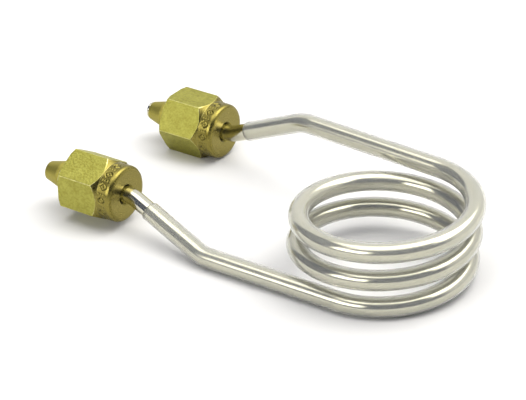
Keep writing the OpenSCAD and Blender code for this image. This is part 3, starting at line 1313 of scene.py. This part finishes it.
@dataclass
class Fitting:
    """One nut with its cone ferrule and the ring inside it."""

    side: str
    facet_angle: float
    ring_body: Body
    nut_body: Body
    cone_profile: tuple[tuple[float, float], ...] = (
        (0.0, 1.5875),
        (0.0, 1.6875),
        (0.12, 1.8075),
        (3.264, 2.65),
        (5.4, 2.65),
        (5.4, 2.43),
        (4.5575, 1.5875),
    )
    ring_profile: tuple[tuple[float, float], ...] = (
        (0.0, 1.6675),
        (0.0, 2.05),
        (0.6, 2.65),
        (1.6, 2.65),
        (1.6, 1.6675),
    )

    def build(self, dresser: Dresser) -> None:
        """Builds the three pieces.

        Args:
            dresser: gives the pieces their finish and their body.
        """
        CouplingNut(
            f"{self.side}_coupling_nut", f"{self.side}_nut", self.nut_body, self.facet_angle
        ).build(dresser)
        TurnedRing(
            f"{self.side}_cone",
            f"{self.side}_cone_ferrule",
            Body.COIL,
            list(self.cone_profile),
            [0.03, 0.05, 0.15, 0.3, 0.08, 0.05, 0.05],
        ).build(dresser)
        TurnedRing(
            f"{self.side}_inner_ring",
            f"{self.side}_nut_ring",
            self.ring_body,
            list(self.ring_profile),
            [0.05, 0.05, 0.1, 0.08, 0.05],
        ).build(dresser)


# ---------------------------------------------------------------------------------------------
# Studio


@dataclass(frozen=True)
class Patch:
    """A soft-edged stretch of the room's wall.

    It is centred at a turn in degrees from the camera's bearing. Spread is the shares of a level
    direction towards its middle between which it fades in, and low and high are the heights
    between which it fades in and out again.
    """

    turn: float
    spread: tuple[float, float]
    low: tuple[float, float] = (-1.1, -1.0)
    high: tuple[float, float] = (1.0, 1.1)
    glow: float = 0.0


@dataclass
class Studio:
    """Floor, room light and camera."""

    azimuth: float = 35.03
    elevation: float = 28.82
    roll: float = -1.22
    distance: float = 424.22
    target: tuple[float, float, float] = (-2.43, -3.49, 6.0)
    sensor: float = 36.0
    lens: float = 157.414449
    floor_half: float = 3.0
    floor_drop: float = 0.00002
    low_room: Colour = (0.66, 0.66, 0.68)
    high_room: Colour = (0.87, 0.87, 0.87)
    shade: Colour = (0.02, 0.035, 0.085)
    dark_walls: tuple[Patch, ...] = (
        Patch(0.0, (0.22, 0.48), high=(0.42, 0.58)),
        Patch(0.0, (0.40, 0.70), high=(0.70, 0.88)),
        Patch(-105.0, (0.80, 0.90), high=(0.78, 0.86)),
    )
    box_glow: float = 2.0
    box_ahead: tuple[float, float] = (-0.45, 0.46)
    box_across: tuple[float, float] = (-0.58, 0.50)
    box_soft: float = 0.12
    box_rise: tuple[float, float] = (0.2, 0.4)
    room_rise: tuple[float, float] = (0.0, 0.4)
    least_level: float = 0.01
    lamp: Colour = (1.0, 0.975, 0.92)
    backdrop: Colour = (1.0, 1.0, 1.0)
    windows: tuple[Patch, ...] = (
        Patch(-48.0, (0.90, 0.97), low=(0.16, 0.28), high=(0.50, 0.66), glow=5.0),
        Patch(100.0, (0.65, 0.90), low=(0.45, 0.65), glow=3.2),
    )

    def _axes(self) -> tuple[Vector, Vector, Vector]:
        """Works the camera's directions out from its azimuth, elevation and roll.

        Returns:
            Its right, its up and its backward direction.
        """
        a, e, r = (math.radians(v) for v in (self.azimuth, self.elevation, self.roll))
        forward = Vector((-math.sin(a) * math.cos(e), math.cos(a) * math.cos(e), -math.sin(e)))
        right = Vector((math.cos(a), math.sin(a), 0.0))
        up = right.cross(forward)
        turned_right = right * math.cos(r) + up * math.sin(r)
        turned_up = up * math.cos(r) - right * math.sin(r)
        return turned_right, turned_up, -forward

    def camera(self) -> None:
        """Stands the camera at its distance from the target, looking at it."""
        right, up, back = self._axes()
        data = bpy.data.cameras.new("camera")
        data.sensor_width = self.sensor
        data.lens = self.lens
        camera = bpy.data.objects.new("camera", data)
        bpy.context.scene.collection.objects.link(camera)
        turn = Matrix((right, up, back)).transposed().to_4x4()
        place = (Vector(self.target) + back * self.distance) * MM
        camera.matrix_world = Matrix.Translation(place) @ turn
        bpy.context.scene.camera = camera

    def floor(self) -> None:
        """Lays a wide board just under the part; its sizes are in metres."""
        half = self.floor_half
        corners = [(-half, -half), (half, -half), (half, half), (-half, half)]
        mesh = bpy.data.meshes.new("floor")
        mesh.from_pydata([(x, y, -self.floor_drop) for x, y in corners], [], [(0, 1, 2, 3)])
        mesh.materials.append(PaleFloor().material())
        floor = bpy.data.objects.new("floor", mesh)
        bpy.context.scene.collection.objects.link(floor)

    @staticmethod
    def _level(azimuth: float) -> tuple[float, float, float]:
        """The level direction towards a viewer at an azimuth in degrees."""
        return math.sin(math.radians(azimuth)), -math.cos(math.radians(azimuth)), 0.0

    @staticmethod
    def _along(
        sheet: Sheet, way: bpy.types.NodeSocket, direction: tuple[float, float, float]
    ) -> bpy.types.NodeSocket:
        """How far a direction reaches along another: their dot product.

        Args:
            sheet: the world's sheet.
            way: the direction.
            direction: the other direction.

        Returns:
            The socket with the product.
        """
        node = sheet.add("VectorMath", {0: way, 1: direction}, operation="DOT_PRODUCT")
        return node.outputs["Value"]

    def _patch(
        self,
        sheet: Sheet,
        way: bpy.types.NodeSocket,
        height: bpy.types.NodeSocket,
        level: bpy.types.NodeSocket,
        patch: Patch,
    ) -> bpy.types.NodeSocket:
        """How far a direction lies in a patch: its spread, rise and fall multiplied.

        Args:
            sheet: the world's sheet.
            way: the direction.
            height: the direction's Z.
            level: the length of the direction's level part.
            patch: the patch.

        Returns:
            The socket with the share, nothing to one.
        """
        toward = self._along(sheet, way, self._level(self.azimuth + patch.turn))
        spread = sheet.between(sheet.math("DIVIDE", toward, level), *patch.spread)
        rise = sheet.between(height, *patch.low)
        fall = sheet.between(height, *patch.high, 1.0, 0.0)
        return sheet.product(spread, sheet.product(rise, fall))

    def _room(
        self,
        sheet: Sheet,
        way: bpy.types.NodeSocket,
        height: bpy.types.NodeSocket,
        level: bpy.types.NodeSocket,
    ) -> bpy.types.NodeSocket:
        """The room's colour: paler with height, and shaded where the dark walls are.

        Args:
            sheet: the world's sheet.
            way: the direction.
            height: the direction's Z.
            level: the length of the direction's level part.

        Returns:
            The colour socket.
        """
        walls = [self._patch(sheet, way, height, level, wall) for wall in self.dark_walls]
        dark = reduce(lambda first, second: sheet.math("MAXIMUM", first, second), walls)
        rise = sheet.between(height, *self.room_rise)
        room = sheet.blend(rise, rgba(self.low_room), rgba(self.high_room))
        return sheet.blend(dark, room, rgba(self.shade))

    def _box(
        self, sheet: Sheet, way: bpy.types.NodeSocket, height: bpy.types.NodeSocket
    ) -> bpy.types.NodeSocket:
        """How far a direction lies in the soft box overhead.

        Its shares ahead and across over its height are its place on a ceiling one high. The box
        is where both lie between their limits.

        Args:
            sheet: the world's sheet.
            way: the direction.
            height: the direction's Z.

        Returns:
            The socket with the share, nothing to one.
        """
        raised = sheet.math("MAXIMUM", height, self.box_rise[0])
        box = sheet.between(height, *self.box_rise)
        soft = self.box_soft
        for turn, (first, last) in ((0.0, self.box_ahead), (90.0, self.box_across)):
            place = self._along(sheet, way, self._level(self.azimuth + turn))
            share = sheet.math("DIVIDE", place, raised)
            rise = sheet.between(share, first - soft, first + soft)
            fall = sheet.between(share, last - soft, last + soft, 1.0, 0.0)
            box = sheet.product(box, sheet.product(rise, fall))
        return box

    def light(self) -> None:
        """Lights the room by direction.

        The room is pale, and a little darker near the floor, with dark stretches of wall, bright
        windows and a soft box overhead. The camera itself sees plain white.
        """
        world = bpy.data.worlds.new("room")
        bpy.context.scene.world = world
        world.use_nodes = True
        world.node_tree.nodes.clear()
        sheet = Sheet(world.node_tree)
        way = sheet.add("TexCoord").outputs["Generated"]
        height = sheet.add("SeparateXYZ", {0: way}).outputs[2]
        square = sheet.math("SUBTRACT", 1.0, sheet.product(height, height))
        level = sheet.math("MAXIMUM", sheet.math("SQRT", square), self.least_level)
        extra = sheet.product(self._box(sheet, way, height), self.box_glow)
        for window in self.windows:
            share = self._patch(sheet, way, height, level, window)
            extra = sheet.math("MULTIPLY_ADD", share, window.glow, extra)
        room = self._room(sheet, way, height, level)
        lit = sheet.add("Background", {"Color": room, "Strength": 1.0})
        more = sheet.add("Background", {"Color": rgba(self.lamp), "Strength": extra})
        total = sheet.add("AddShader", {0: lit.outputs[0], 1: more.outputs[0]})
        plain = sheet.add("Background", {"Color": rgba(self.backdrop), "Strength": 1.0})
        camera_ray = sheet.add("LightPath").outputs["Is Camera Ray"]
        shaders = {0: camera_ray, 1: total.outputs[0], 2: plain.outputs[0]}
        mixed = sheet.add("MixShader", shaders)
        sheet.add("OutputWorld", {"Surface": mixed.outputs[0]})

    def build(self) -> None:
        """Builds the floor, the light and the camera."""
        self.floor()
        self.light()
        self.camera()
        scene = bpy.context.scene
        scene.view_settings.view_transform = "Standard"
        scene.view_settings.look = "None"
        LOG.info("studio: floor, room light and camera")


def main() -> None:
    """Builds every piece in order, then the studio."""
    logging.basicConfig(level=logging.INFO, format="%(name)s: %(message)s")
    dresser = Dresser(Effects())
    SleevedTube().build(dresser)
    Fitting("front", 0.0, Body.FRONT_RING, Body.FRONT_NUT).build(dresser)
    Fitting("back", 30.0, Body.BACK_RING, Body.BACK_NUT).build(dresser)
    Studio().build()


if __name__ == "__main__":
    main()
